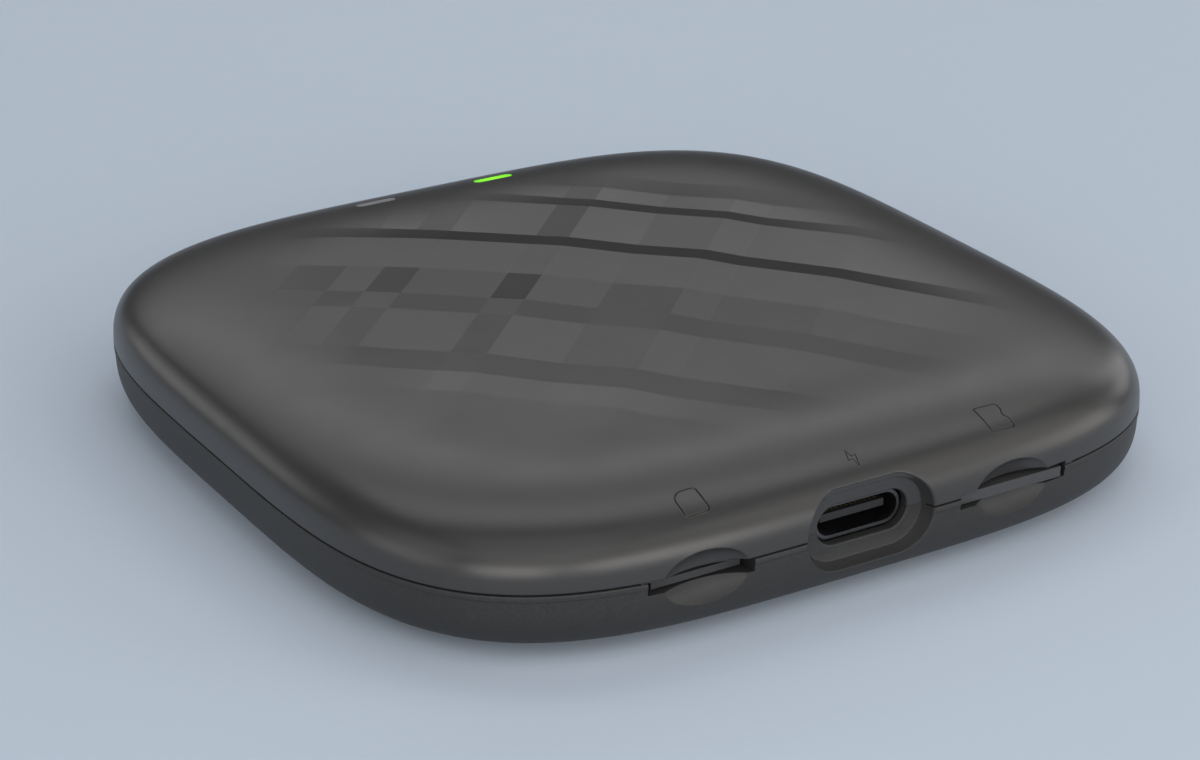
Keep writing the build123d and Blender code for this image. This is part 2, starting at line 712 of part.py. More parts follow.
PLUG_X = 29.0
PLUG_Y = 30.0


def coax(side):
    """Thin lead from the plug on the board to the antenna's feed point."""
    z = BOARD_TOP + 1.25
    beside = ANTENNA_X - ANTENNA_THICK / 2 - 0.45
    points = [
        (side * (PLUG_X + 1.0), PLUG_Y, z),
        (side * (PLUG_X + 3.6), PLUG_Y - 3.0, z + 0.3),
        (side * (PLUG_X + 5.4), PLUG_Y - 9.0, z + 0.6),
        (side * beside, 12.0, z + 0.6),
    ]
    path = Spline(*points, tangents=[(side, 0, 0), (0, -1, 0)])
    profile = Plane(origin=path @ 0, z_dir=path % 0) * Circle(0.4)
    return sweep(profile, path)


def coax_plugs():
    """Round snap-on plugs, each with a crimped tail for the lead."""
    parts = []
    for side in (-1, 1):
        x = side * PLUG_X
        z = BOARD_TOP
        plug = post(x, PLUG_Y, 1.0, z, z + 1.7)
        tail = block(min(x, x + side), max(x, x + side), PLUG_Y - 0.5, PLUG_Y + 0.5, z + 0.85, z + 1.65)
        parts.append(plug + tail)
    return together(parts)


def wifi_antennas():
    return together([chip(x, 33.0, 6.0, 2.0, 1.2) for x in (-24.0, 24.0)])


def power_inductors():
    places = ((-4.5, -28.5), (0, -28.5), (4.5, -28.5), (28.5, -6))
    return together([chip(x, y, 3.0, 3.0, 1.4) for x, y in places])


def capacitor_places():
    places = []
    for i in range(6):
        places.append((-28.0, -12.0 + 4.0 * i))
        places.append((21.5 + 1.6 * (i % 2), -12.0 + 4.0 * i))
    for i in range(7):
        places.append((-15.0 + 5.0 * i, -22.5))
    return places


def capacitors():
    z1 = BOARD_TOP + 0.5
    pieces = []
    for x, y in capacitor_places():
        pieces.append(block(x - 0.5, x + 0.5, y - 0.25, y + 0.25, BOARD_TOP, z1))
    return together(pieces)


# ---- write every piece
NODES = {
    "top_shell": top_shell,
    "bottom_shell": bottom_shell,
    "base_pad": base_pad,
    "case_screws": case_screws,
    "light_bar_left": lambda: light_bar(-BAR_X),
    "light_bar_right": lambda: light_bar(BAR_X),
    "light_baffle": light_baffle,
    "status_leds": status_leds,
    "main_board": main_board,
    "usb_c_shell": usb_c_shell,
    "usb_c_insulator": usb_c_insulator,
    "usb_c_contacts": usb_c_contacts,
    "sim_socket_base": lambda: socket_base(SIM),
    "sim_socket_cover": lambda: socket_cover(SIM),
    "sim_socket_contacts": lambda: socket_contacts(SIM),
    "sim_slider": lambda: socket_slider(SIM),
    "sim_spring": lambda: socket_spring(SIM),
    "sim_cam_pin": lambda: socket_pin(SIM),
    "sim_card": sim_card,
    "sim_card_pads": sim_card_pads,
    "tf_socket_base": lambda: socket_base(TF),
    "tf_socket_cover": lambda: socket_cover(TF),
    "tf_socket_contacts": lambda: socket_contacts(TF),
    "tf_slider": lambda: socket_slider(TF),
    "tf_spring": lambda: socket_spring(TF),
    "tf_cam_pin": lambda: socket_pin(TF),
    "tf_card": tf_card,
    "tf_card_pads": tf_card_pads,
    "processor_chip": lambda: chip(0, -4, 14, 14, 1.1),
    "memory_chip": lambda: chip(13.5, -4, 8, 11, 0.9),
    "flash_chip": lambda: chip(-13.5, -4, 8, 10, 0.9),
    "modem_chip": lambda: chip(-4, 20, 11, 11, 1.0),
    "power_chip": lambda: chip(7.5, 20, 6, 6, 0.9),
    "processor_shield": lambda: shield_can(-19, 19, -13, 5, 1.7),
    "radio_shield": lambda: shield_can(-13, 14, 12, 28, 1.6),
    "crystal": lambda: chip(-24.5, 8, 3.2, 2.5, 0.8),
    "thermal_pad": thermal_pad,
    "heat_spreader": heat_spreader,
    "antenna_left": lambda: antenna(-1),
    "antenna_right": lambda: antenna(1),
    "coax_left": lambda: coax(-1),
    "coax_right": lambda: coax(1),
    "coax_plugs": coax_plugs,
    "wifi_antennas": wifi_antennas,
    "power_inductors": power_inductors,
    "capacitors": capacitors,
}

os.makedirs("parts", exist_ok=True)
for name, make in NODES.items():
    shape = make()
    export_step(shape, "parts/" + name + ".step")
    box = shape.bounding_box()
    print(name, len(shape.solids()), round(sum(s.volume for s in shape.solids()), 2), box.min, box.max)
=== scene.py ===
import bpy
import bmesh
import json
import math
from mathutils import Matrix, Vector


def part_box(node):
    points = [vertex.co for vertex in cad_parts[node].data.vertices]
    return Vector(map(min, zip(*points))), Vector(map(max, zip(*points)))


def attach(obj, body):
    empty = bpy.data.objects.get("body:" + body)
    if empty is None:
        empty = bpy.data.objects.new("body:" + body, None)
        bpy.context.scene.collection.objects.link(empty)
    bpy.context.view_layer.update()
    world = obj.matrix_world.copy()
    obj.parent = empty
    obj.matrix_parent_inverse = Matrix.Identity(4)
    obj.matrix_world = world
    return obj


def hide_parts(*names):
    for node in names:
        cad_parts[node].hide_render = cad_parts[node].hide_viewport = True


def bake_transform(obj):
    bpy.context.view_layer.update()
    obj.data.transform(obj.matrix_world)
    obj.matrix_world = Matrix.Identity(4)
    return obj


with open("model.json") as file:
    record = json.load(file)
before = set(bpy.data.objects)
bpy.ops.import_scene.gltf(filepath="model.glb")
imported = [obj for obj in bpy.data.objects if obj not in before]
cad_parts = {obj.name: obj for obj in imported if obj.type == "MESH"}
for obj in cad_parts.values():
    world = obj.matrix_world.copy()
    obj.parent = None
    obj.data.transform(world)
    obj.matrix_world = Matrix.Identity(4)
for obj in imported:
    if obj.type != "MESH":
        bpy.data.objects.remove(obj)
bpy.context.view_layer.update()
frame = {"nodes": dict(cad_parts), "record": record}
MM = 0.001


def mm(node):
    """Lowest and highest corner of a CAD node, in millimetres."""
    lo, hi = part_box(node)
    return lo / MM, hi / MM


# ---------------------------------------------------------------- the form
# The same rounded square as the CAD case, from its boxes and these powers.
LID_LO, LID_HI = mm("top_shell")
TRAY_LO, TRAY_HI = mm("bottom_shell")
PAD_HI = mm("base_pad")[1]
HALF = round((LID_HI.y - LID_LO.y) / 2, 1)
TOP_Z = LID_HI.z
LIP_HEIGHT = 0.9
SEAM_Z = TRAY_HI.z - LIP_HEIGHT
BASE_Z = TRAY_LO.z
RISE = TOP_Z - SEAM_Z
DROP = SEAM_Z - BASE_Z
CORNER_POWER = 3.887
LID_P = 8.6
LID_Q = 2.8
TRAY_RADIUS = 5.0
TRAY_POWER = 3.8
SIDE_WALL = 1.4
CEILING = 1.3
BASE_WALL = 1.5
SEAM_GAP = 0.14
LIP_HALF = 41.2
BAND_HEIGHT = 0.55
BAND_STEP = 0.07
EDGE = 0.12
FRONT_WALL_Y = -39.55
LIP_BREAK_X = 23.5
STEPS = 288  # points round each ring of the case
SHARP_ANGLE = 24

PORT_HALF_HEIGHT = 1.63
PORT_Z = mm("usb_c_shell")[1].z - PORT_HALF_HEIGHT
WELL_Z = SEAM_Z + 0.05
WELL_WIDTH = 13.1
WELL_HEIGHT = 7.2
WELL_FLOOR_Y = -40.5
WELL_DRAFT = 0.45
RIM = 0.26
FOOT = 0.22
PORT_HOLE_WIDTH = 9.4
PORT_HOLE_HEIGHT = 3.76

SIM_X = sum(v.x for v in mm("sim_card")) / 2
TF_X = sum(v.x for v in mm("tf_card")) / 2
SIM_SLOT = (SIM_X, 10.0, SEAM_Z - 1.15, SEAM_Z)
TF_SLOT = (TF_X, 12.1, SEAM_Z - 1.0, SEAM_Z + 0.5)
SCOOP_HALF_WIDTH = 4.4
SCOOP_HALF_HEIGHT = 2.7
SCOOP_DEPTH = 1.3
SCOOP_CENTRE_OUT = 1.0
SCOOP_FACE_Y = -41.76

BAR_LENGTH = 4.4
BAR_WIDTH = 1.15
BAR_GAP = 0.1
POST_RADIUS = 2.2
PILOT_RADIUS = 0.92
SHANK_HOLE_RADIUS = 1.05
HEAD_HOLE_RADIUS = 1.65
HEAD_HOLE_TOP_Z = 2.05
SCREW_HEAD_RADIUS = 1.5
RIB_X = 14
CLIP_INNER = 0.42
CLIP_OUTER = 1.3
CLIP_TOP_Z = 4.0
PAD_GAP = 0.1
PAD_RECESS = 0.5
OUTSIDE_Y = -44.0  # in front of the whole case, where cutters start


def ring_radius(a):
    c = abs(math.cos(a)) ** CORNER_POWER
    s = abs(math.sin(a)) ** CORNER_POWER
    return (c + s) ** (-1 / CORNER_POWER)


UNIT = []
for i in range(STEPS):
    a = 2 * math.pi * i / STEPS
    UNIT.append((ring_radius(a) * math.cos(a), ring_radius(a) * math.sin(a)))


def level(x, y):
    """Half side of the rounded square that passes through x, y."""
    return (abs(x) ** CORNER_POWER + abs(y) ** CORNER_POWER) ** (1 / CORNER_POWER)


def lid_z(w):
    """Height of the lid's outside at a level."""
    return SEAM_Z + RISE * max(0.0, 1 - (w / HALF) ** LID_P) ** (1 / LID_Q)


def half_at(z):
    """Half side of the case's outside at a height."""
    if z >= SEAM_Z:
        t = min(1.0, (z - SEAM_Z) / RISE)
        return HALF * (1 - t**LID_Q) ** (1 / LID_P)
    u = min(1.0, (SEAM_Z - z) / DROP)
    return HALF - TRAY_RADIUS * (1 - math.sqrt(1 - u**TRAY_POWER))


def front_y(x, z):
    """Y of the case's front at x and z."""
    h = half_at(z)
    return -h * max(0.0, 1 - (abs(x) / h) ** CORNER_POWER) ** (1 / CORNER_POWER)


# ---------------------------------------------------------------- mesh helpers
def new_object(name, verts, faces):
    mesh = bpy.data.meshes.new(name)
    mesh.from_pydata([(x * MM, y * MM, z * MM) for x, y, z in verts], [], faces)
    mesh.update()
    obj = bpy.data.objects.new(name, mesh)
    bpy.context.scene.collection.objects.link(obj)
    return obj


def outward(obj):
    """Turns every face's normal outward."""
    bm = bmesh.new()
    bm.from_mesh(obj.data)
    bmesh.ops.recalc_face_normals(bm, faces=bm.faces)
    bm.to_mesh(obj.data)
    bm.free()
    return obj


def quads(first, second, n):
    """Faces between two rings of n points, from the index of each ring's first point."""
    return [(first + i, first + (i + 1) % n, second + (i + 1) % n, second + i) for i in range(n)]


def loft(name, rings):
    """Closed form through rings of equal length, with flat ends."""
    n = len(rings[0])
    verts = [p for ring in rings for p in ring]
    faces = []
    for r in range(len(rings) - 1):
        faces += quads(r * n, (r + 1) * n, n)
    faces.append(tuple(range(n))[::-1])
    last = (len(rings) - 1) * n
    faces.append(tuple(last + i for i in range(n)))
    return outward(new_object(name, verts, faces))


def box(name, x0, x1, y0, y1, z0, z1):
    ring = [(x0, y0), (x1, y0), (x1, y1), (x0, y1)]
    return loft(name, [[(x, y, z) for x, y in ring] for z in (z0, z1)])


def stadium(width, height, count):
    """Points and outward normals of a stadium about the origin."""
    r = min(width, height) / 2
    half = (max(width, height) / 2) - r
    points = []
    for i in range(count):
        a = 2 * math.pi * (i + 0.5) / count
        c, s = math.cos(a), math.sin(a)
        shift = math.copysign(half, c)
        points.append((shift + r * c, r * s, c, s))
    return points


def apply_boolean(obj, tool, operation):
    mod = obj.modifiers.new("cut", "BOOLEAN")
    mod.operation = operation
    mod.solver = "EXACT"
    mod.object = tool
    deps = bpy.context.evaluated_depsgraph_get()
    mesh = bpy.data.meshes.new_from_object(obj.evaluated_get(deps))
    obj.modifiers.remove(mod)
    old = obj.data
    obj.data = mesh
    bpy.data.meshes.remove(old)


def cut(obj, tools):
    for tool in tools:
        apply_boolean(obj, tool, "DIFFERENCE")


def discard(objects):
    for o in objects:
        mesh = o.data
        bpy.data.objects.remove(o)
        bpy.data.meshes.remove(mesh)


def finish_mesh(obj, name):
    """Smooth shading, with sharp edges where faces meet at more than SHARP_ANGLE."""
    obj.name = name
    obj.data.name = name
    bm = bmesh.new()
    bm.from_mesh(obj.data)
    bmesh.ops.remove_doubles(bm, verts=bm.verts, dist=0.0008 * MM)
    bmesh.ops.dissolve_degenerate(bm, edges=bm.edges, dist=0.0008 * MM)
    for f in bm.faces:
        f.smooth = True
    limit = math.radians(SHARP_ANGLE)
    for e in bm.edges:
        if len(e.link_faces) == 2 and e.calc_face_angle(0.0) > limit:
            e.smooth = False
    bm.to_mesh(obj.data)
    bm.free()


# ---------------------------------------------------------------- cutters
def well_cutter():
    """Plug well: rounded rim that follows the case, drafted wall, rounded foot."""
    profile = [(RIM + 0.25, -0.5)]
    for turn in (18, 42, 66, 90):
        a = math.radians(turn)
        profile.append((RIM * (1 - math.sin(a)), RIM * (1 - math.cos(a))))
    narrow = -WELL_DRAFT * 0.8
    rings = [[] for _ in range(len(profile) + 4)]
    for px, pz, nx, nz in stadium(WELL_WIDTH, WELL_HEIGHT, 96):
        points = [(RIM + 0.25, OUTSIDE_Y)]
        for out, deep in profile:
            y = front_y(px + nx * out, WELL_Z + pz + nz * out) + deep
            points.append((out, min(y, WELL_FLOOR_Y)))
        start = max(points[-1][1], WELL_FLOOR_Y - FOOT)
        points.append((narrow, start))
        points.append((narrow - FOOT * 0.3, start + (WELL_FLOOR_Y - start) * 0.7))
        points.append((narrow - FOOT, WELL_FLOOR_Y))
        for ring, (out, y) in zip(rings, points):
            ring.append((px + nx * out, y, WELL_Z + pz + nz * out))
    return loft("cut_well", rings)


def hole_cutter():
    """Hole for the socket in the well's floor, with a small chamfer."""
    shape = stadium(PORT_HOLE_WIDTH, PORT_HOLE_HEIGHT, 64)
    steps = (
        (0.3, -41.2),
        (0.12, WELL_FLOOR_Y - 0.02),
        (0.0, WELL_FLOOR_Y + 0.1),
        (0.0, -38.0),
    )
    rings = []
    for grow, y in steps:
        rings.append([(x + nx * grow, y, PORT_Z + z + nz * grow) for x, z, nx, nz in shape])
    return loft("cut_hole", rings)


def scoop_cutter(x, z, name):
    """Oval thumb hollow: the front of an ellipsoid centred outside the case."""
    deep = SCOOP_CENTRE_OUT + SCOOP_DEPTH
    share = math.sqrt(1 - (SCOOP_CENTRE_OUT / deep) ** 2)
    a = SCOOP_HALF_WIDTH / share
    b = SCOOP_HALF_HEIGHT / share
    count = 72
    bands = 26
    rings = []
    for k in range(1, bands):
        lat = math.pi * k / bands
        y = SCOOP_FACE_Y - SCOOP_CENTRE_OUT - deep * math.cos(lat)
        r = math.sin(lat)
        ring = []
        for i in range(count):
            t = 2 * math.pi * i / count
            ring.append((x + a * r * math.cos(t), y, z + b * r * math.sin(t)))
        rings.append(ring)
    return loft(name, rings)


def slot_cutter(slot, name):
    x, width, z0, z1 = slot
    return box(name, x - width / 2, x + width / 2, OUTSIDE_Y, -38, z0, z1)


def bar_cutter(node):
    """Opening in the lid for a light bar."""
    lo, hi = mm(node)
    x = (lo.x + hi.x) / 2
    y = (lo.y + hi.y) / 2
    shape = stadium(BAR_LENGTH + BAR_GAP, BAR_WIDTH + BAR_GAP, 48)
    rings = [[(x + px, y + py, z) for px, py, _, _ in shape] for z in (9.0, 14.0)]
    return loft("cut_" + node, rings)


def middle(slot):
    return (slot[2] + slot[3]) / 2


tools = [
    well_cutter(),
    hole_cutter(),
    scoop_cutter(SIM_X, middle(SIM_SLOT), "cut_scoop_sim"),
    scoop_cutter(TF_X, middle(TF_SLOT), "cut_scoop_tf"),
    slot_cutter(SIM_SLOT, "cut_slot_sim"),
    slot_cutter(TF_SLOT, "cut_slot_tf"),
]


# ---------------------------------------------------------------- engraved marks
MARK_WIDTH = 0.12
FINE_MARK_WIDTH = 0.07
MARK_DEPTH = 0.14
MARK_PART = 0.35  # longest straight run of a groove, so that it follows the lid


def groove(corners, name, width=MARK_WIDTH):
    """Cutter for a thin engraved outline that follows the lid's outside."""
    path = []
    for i, (x0, y0) in enumerate(corners):
        x1, y1 = corners[(i + 1) % len(corners)]
        parts = max(1, int(math.hypot(x1 - x0, y1 - y0) / MARK_PART))
        for k in range(parts):
            path.append((x0 + (x1 - x0) * k / parts, y0 + (y1 - y0) * k / parts))
    rings = []
    n = len(path)
    for i, (x, y) in enumerate(path):
        before, after = path[i - 1], path[(i + 1) % n]
        d0 = Vector((x - before[0], y - before[1])).normalized()
        d1 = Vector((after[0] - x, after[1] - y)).normalized()
        side = Vector((-(d0.y + d1.y), d0.x + d1.x)).normalized()
        reach = width / 2 / max(0.4, side.dot(Vector((-d0.y, d0.x))))
        ring = []
        for s, rise in ((-1, 0.4), (1, 0.4), (1, -MARK_DEPTH), (-1, -MARK_DEPTH)):
            px = x + side.x * s * reach
            py = y + side.y * s * reach
            ring.append((px, py, lid_z(level(px, py)) + rise))
        rings.append(ring)
    verts = [p for ring in rings for p in ring]
    faces = []
    for r in range(n):
        faces += quads(r * 4, (r + 1) % n * 4, 4)
    return outward(new_object(name, verts, faces))


def rounded(corners, radius):
    """Polygon with its corners rounded by short chamfers."""
    out = []
    n = len(corners)
    for i in range(n):
        p = Vector(corners[i])
        a = Vector(corners[i - 1]) - p
        b = Vector(corners[(i + 1) % n]) - p
        ra = min(radius, a.length * 0.3)
        rb = min(radius, b.length * 0.3)
        out.append(tuple(p + a.normalized() * ra))
        out.append(tuple(p + b.normalized() * rb))
    return out


def sim_mark():
    """Outline of a SIM card: a rectangle with one corner cut off."""
    x, y = SIM_X + 0.75, -38.3
    w, h = 1.2, 1.3
    bevel = 0.75
    corners = [
        (x - w, y - h),
        (x + w, y - h),
        (x + w, y + h),
        (x - w + bevel, y + h),
        (x - w, y + h - bevel),
    ]
    return groove(rounded(corners, 0.2), "cut_mark_sim")


def memory_mark():
    """Outline of a memory card: a rectangle with a notch in its right side."""
    x, y = TF_X + 0.1, -38.15
    w, h = 1.25, 1.45
    corners = [
        (x - w, y - h),
        (x + w, y - h),
        (x + w, y - 0.35),
        (x + w - 0.3, y - 0.1),
        (x + w - 0.3, y + 0.3),
        (x + w - 0.05, y + 0.5),
        (x + w - 0.05, y + h),
        (x - w, y + h),
    ]
    return groove(rounded(corners, 0.14), "cut_mark_memory")


def power_mark():
    """Outline of a lightning bolt."""
    x, y = 0.1, -38.5
    bolt = [(-0.1, 0.98), (-0.5, -0.22), (-0.02, -0.14), (0.1, -0.98), (0.5, 0.24), (0.02, 0.16)]
    corners = [(x + px, y + py) for px, py in bolt]
    return groove(corners, "cut_mark_power", FINE_MARK_WIDTH)


marks = [sim_mark(), memory_mark(), power_mark()]


# ---------------------------------------------------------------- case halves
TOP_STEP = 1.3  # distance between rings on the lid's nearly flat top


def ring_at(w, z):
    return [(w * x, w * y, z) for x, y in UNIT]


def thick_front(ring, step=0):
    """Inner ring, pulled back where the front wall is thick around the sockets."""
    limit = FRONT_WALL_Y - 0.03 * step
    return [(x, max(y, limit) if abs(x) < LIP_BREAK_X else y, z) for x, y, z in ring]


def lid_body():
    """Lid as one closed form, from the middle of its ceiling round to its top."""
    rings = []
    # inside, from the middle of the ceiling to the seam
    inner_half = HALF - SIDE_WALL
    inner_rise = RISE - CEILING
    for w in (0.5, 8.0, 15.0):
        z = SEAM_Z + inner_rise * (1 - (w / inner_half) ** LID_P) ** (1 / LID_Q)
        rings.append(ring_at(w, z))
    steps = 13
    for k in range(steps, 0, -1):
        a = math.radians(86) * k / steps
        w = inner_half * math.cos(a) ** (2 / LID_P)
        z = SEAM_Z + inner_rise * math.sin(a) ** (2 / LID_Q)
        if z > SEAM_Z + LIP_HEIGHT + 0.1:
            rings.append(thick_front(ring_at(w, z)))
    rings.append(thick_front(ring_at(inner_half, SEAM_Z + LIP_HEIGHT)))
    rings.append(thick_front(ring_at(LIP_HALF + 0.05, SEAM_Z + LIP_HEIGHT), 1))
    rings.append(thick_front(ring_at(LIP_HALF + 0.05, SEAM_Z + SEAM_GAP), 2))
    # outside, from the seam to the middle of the top
    rings.append(ring_at(HALF - EDGE, SEAM_Z + SEAM_GAP))
    rings.append(ring_at(HALF - EDGE * 0.3, SEAM_Z + SEAM_GAP + EDGE * 0.3))
    rings.append(ring_at(HALF - 0.002, SEAM_Z + SEAM_GAP + EDGE))
    steps = 30
    for k in range(2, steps):
        a = math.radians(90) * k / steps
        w = HALF * math.cos(a) ** (2 / LID_P)
        z = SEAM_Z + RISE * math.sin(a) ** (2 / LID_Q)
        if z > SEAM_Z + SEAM_GAP + EDGE + 0.15:
            rings.append(ring_at(w, z))
    last = rings[-1][0][0]
    w = last - TOP_STEP
    while w > 1.0:
        rings.append(ring_at(w, lid_z(w)))
        w -= TOP_STEP
    rings.append(ring_at(0.5, lid_z(0.5)))
    return loft("lid", rings)


def tray_body():
    """Tray as one closed form, from the middle of its floor round to its base."""
    rings = []
    floor_z = BASE_Z + BASE_WALL
    inner_half = HALF - SIDE_WALL
    inner_drop = SEAM_Z - floor_z
    inner_radius = TRAY_RADIUS - 1.2

    def lip(ring, step):
        """Ring of the lip, which stops short where the sockets are."""
        out = []
        for x, y, z in ring:
            front = abs(x) < LIP_BREAK_X and y < FRONT_WALL_Y + 0.4
            out.append((x, y, min(z, SEAM_Z + 0.002 - 0.001 * step) if front else z))
        return thick_front(out, step)

    for w in (0.5, 20.0, 34.0):
        rings.append(ring_at(w, floor_z))
    steps = 12
    for k in range(steps, -1, -1):
        u = math.sin(math.radians(90) * k / steps)
        inward = inner_radius * (1 - math.sqrt(max(0.0, 1 - u**TRAY_POWER)))
        z = SEAM_Z - inner_drop * u - 0.01
        rings.append(thick_front(ring_at(inner_half - inward, z)))
    rings.append(lip(ring_at(inner_half, SEAM_Z + LIP_HEIGHT), 0))
    rings.append(lip(ring_at(LIP_HALF, SEAM_Z + LIP_HEIGHT), 1))
    rings.append(lip(ring_at(LIP_HALF, SEAM_Z + 0.001), 2))
    rings.append(ring_at(HALF - EDGE, SEAM_Z))
    rings.append(ring_at(HALF - EDGE * 0.3, SEAM_Z - EDGE * 0.3))
    rings.append(ring_at(HALF, SEAM_Z - EDGE))
    rings.append(ring_at(HALF, SEAM_Z - BAND_HEIGHT + 0.05))
    rings.append(ring_at(HALF - BAND_STEP, SEAM_Z - BAND_HEIGHT - 0.03))
    steps = 30
    for k in range(3, steps + 1):
        u = math.sin(math.radians(90) * k / steps)
        if DROP * u < BAND_HEIGHT + 0.2:
            continue
        inward = TRAY_RADIUS * (1 - math.sqrt(max(0.0, 1 - u**TRAY_POWER)))
        rings.append(ring_at(HALF - BAND_STEP - inward, SEAM_Z - DROP * u))
    rings.append(ring_at(33.0, BASE_Z))
    pad_half = PAD_HI.x + PAD_GAP
    rings.append(ring_at(pad_half + 0.15, BASE_Z))
    rings.append(ring_at(pad_half, BASE_Z + 0.12))
    rings.append(ring_at(pad_half, BASE_Z + PAD_RECESS))
    rings.append(ring_at(0.5, BASE_Z + PAD_RECESS))
    return loft("tray", rings)


def round_post(x, y, r, z0, z1, name):
    count = 32
    turns = [2 * math.pi * i / count for i in range(count)]
    ring = [(x + r * math.cos(t), y + r * math.sin(t)) for t in turns]
    return loft(name, [[(px, py, z) for px, py in ring] for z in (z0, z1)])


SCREWS_HI = mm("case_screws")[1]
SCREW_X = SCREWS_HI.x - SCREW_HEAD_RADIUS
SCREW_Y = SCREWS_HI.y - SCREW_HEAD_RADIUS
BOARD_LO, BOARD_HI = mm("main_board")
FLOOR_IN_Z = BASE_Z + BASE_WALL - 0.2  # just inside the tray's floor, so that parts join it
corners = [(sx * SCREW_X, sy * SCREW_Y) for sx in (-1, 1) for sy in (-1, 1)]

lid = lid_body()
extra = [round_post(x, y, POST_RADIUS, BOARD_HI.z, TOP_Z - 0.8, "post") for x, y in corners]
sill_back_y = FRONT_WALL_Y + 0.02
extra.append(box("sill", -22.5, 22.5, -40.95, sill_back_y, SEAM_Z + 0.002, SEAM_Z + 0.4))
for part in extra:
    apply_boolean(lid, part, "UNION")
discard(extra)
pilots = [round_post(x, y, PILOT_RADIUS, BOARD_HI.z - 1, 9.0, "pilot") for x, y in corners]
bars = [bar_cutter("light_bar_left"), bar_cutter("light_bar_right")]
cut(lid, tools + pilots + bars + marks)
discard(pilots + bars + marks)

tray = tray_body()
posts = [round_post(x, y, POST_RADIUS, FLOOR_IN_Z, BOARD_LO.z, "post") for x, y in corners]
SPREADER_Z = mm("heat_spreader")[0].z
ribs = [box("rib", x - 0.6, x + 0.6, -20, 20, FLOOR_IN_Z, SPREADER_Z) for x in (-RIB_X, RIB_X)]
ANTENNA_LO, ANTENNA_HI = mm("antenna_right")
antenna_x = (ANTENNA_LO.x + ANTENNA_HI.x) / 2
for side in (-1, 1):
    for y in (-12, 12):
        x = side * antenna_x
        for s in (-1, 1):
            x0, x1 = sorted((x + s * CLIP_INNER, x + s * CLIP_OUTER))
            ribs.append(box("clip", x0, x1, y - 1, y + 1, FLOOR_IN_Z, CLIP_TOP_Z))
for part in posts + ribs:
    apply_boolean(tray, part, "UNION")
discard(posts + ribs)
holes = [round_post(x, y, SHANK_HOLE_RADIUS, 0.0, 6.0, "hole") for x, y in corners]
holes += [round_post(x, y, HEAD_HOLE_RADIUS, 0.0, HEAD_HOLE_TOP_Z, "hole") for x, y in corners]
cut(tray, tools + holes)
discard(holes + tools)
finish_mesh(tray, "tray_skin")


# ---------------------------------------------------------------- ribbon relief
# Two families of shallow folded ribbons cross on the lid. In a frame turned by
# 45 degrees, one family runs straight along u, and the other runs along v and
# bends where it crosses the first. Each ribbon is a short ramp in the surface.
ROWS = (35.0, 31.8, 27.2, 23.5, 20.2, 11.5, 8.3, 1.1, -5.8, -9.8, -19.5, -30.0, -38.0)
WAVE = (7.5, 8.5, 9.6, 10.2, 11.0, 11.6, 12.3, 11.7, 12.3, 11.3, 10.5, 7.8, 5.8)
COLUMNS = (-36.2, -32.0, -27.5, -18.3, -14.2, -7.7, -0.1, 2.8, 11.3, 13.7, 17.0, 20.8)
# how much each column and each row tilts away (degrees); the rest tilt back a little
COLUMN_TILT = (0.5, -1.1, 0.4, -1.0, 0.1, 0.9, -4.0, 1.2, -3.6, 1.5, -1.5)
ROW_TILT = (-0.2, -1.3, 1.0, -2.4, 0.5, -2.4, 0.4, -0.8, 0.6, -0.2, 0.2, 0.2)
# painted shade of each bent ribbon, and what each straight ribbon adds where it crosses: colour made
# darker where a facet tilts away from the light and lighter where it faces it
COLUMN_PAINTED_SHADE = (0.06, -0.10, 0.02, -0.11, -0.02, 0.06, -0.55, 0.16, -0.5, 0.2, -0.18)
CROSS_PAINTED_SHADE = (0.0, -0.03, -0.28, 0.07, -0.5, -0.14, 0.0, -0.45, 0.0, -0.4, -0.1)
# a column whose painted shade is left out in the first rows, and each row's share of the crossings'
# painted shade
FAINT_COLUMN = 3
FAINT_UNTIL_ROW = 4
CROSS_SHARE = (0.0, 0.45, -0.25, 0.8, 0.0, 1.0, -0.15, 0.36, -0.1, 0.12, 0.0, 0.0)
FADE_FROM = 23.0
FADE_TO = 34.0
R2 = math.sqrt(2)


def wave(v):
    """Sideways place of the bent ribbons at v."""
    if v >= ROWS[0]:
        return WAVE[0]
    for i in range(len(ROWS) - 1):
        if v >= ROWS[i + 1]:
            t = (ROWS[i] - v) / (ROWS[i] - ROWS[i + 1])
            return WAVE[i] + (WAVE[i + 1] - WAVE[i]) * t
    return WAVE[-1] - (ROWS[-1] - v) * 0.3


def ramp(value, stops, tilts):
    """Height reached at value, walking across stops with these tilts (degrees)."""
    h = 0.0
    for a, b, tilt in zip(stops, stops[1:], tilts):
        if value <= a:
            break
        h += (min(value, b) - a) * math.tan(math.radians(tilt))
    return h


ROW_STOPS = tuple(-v for v in ROWS)


def fade(x, y):
    """Share of the folds at a point: all in the middle, none near the edge."""
    t = (FADE_TO - level(x, y)) / (FADE_TO - FADE_FROM)
    t = min(1.0, max(0.0, t))
    return t * t * (3 - 2 * t)


def relief(x, y):
    """Height of the folds, before they fade towards the lid's edge."""
    u = (x + y) / R2
    v = (y - x) / R2
    return ramp(u - wave(v), COLUMNS, COLUMN_TILT) + ramp(-v, ROW_STOPS, ROW_TILT)


def cell(x, y):
    """Column and row that a point of the lid lies in, or None outside them."""
    u = (x + y) / R2
    v = (y - x) / R2
    s = u - wave(v)
    column = sum(1 for c in COLUMNS if s > c) - 1
    row = sum(1 for r in ROWS if v < r) - 1
    if 0 <= column < len(COLUMN_TILT) and 0 <= row < len(ROW_TILT):
        return column, row
    return None


def facet_painted_shade(column, row):
    """Painted shade of a facet: how much lighter or darker than the lid its colour is made, standing in
    for how its tilt catches the light.
    """
    bent = COLUMN_PAINTED_SHADE[column]
    if column == FAINT_COLUMN and row < FAINT_UNTIL_ROW:
        bent = 0.0
    return bent + CROSS_SHARE[row] * CROSS_PAINTED_SHADE[column]


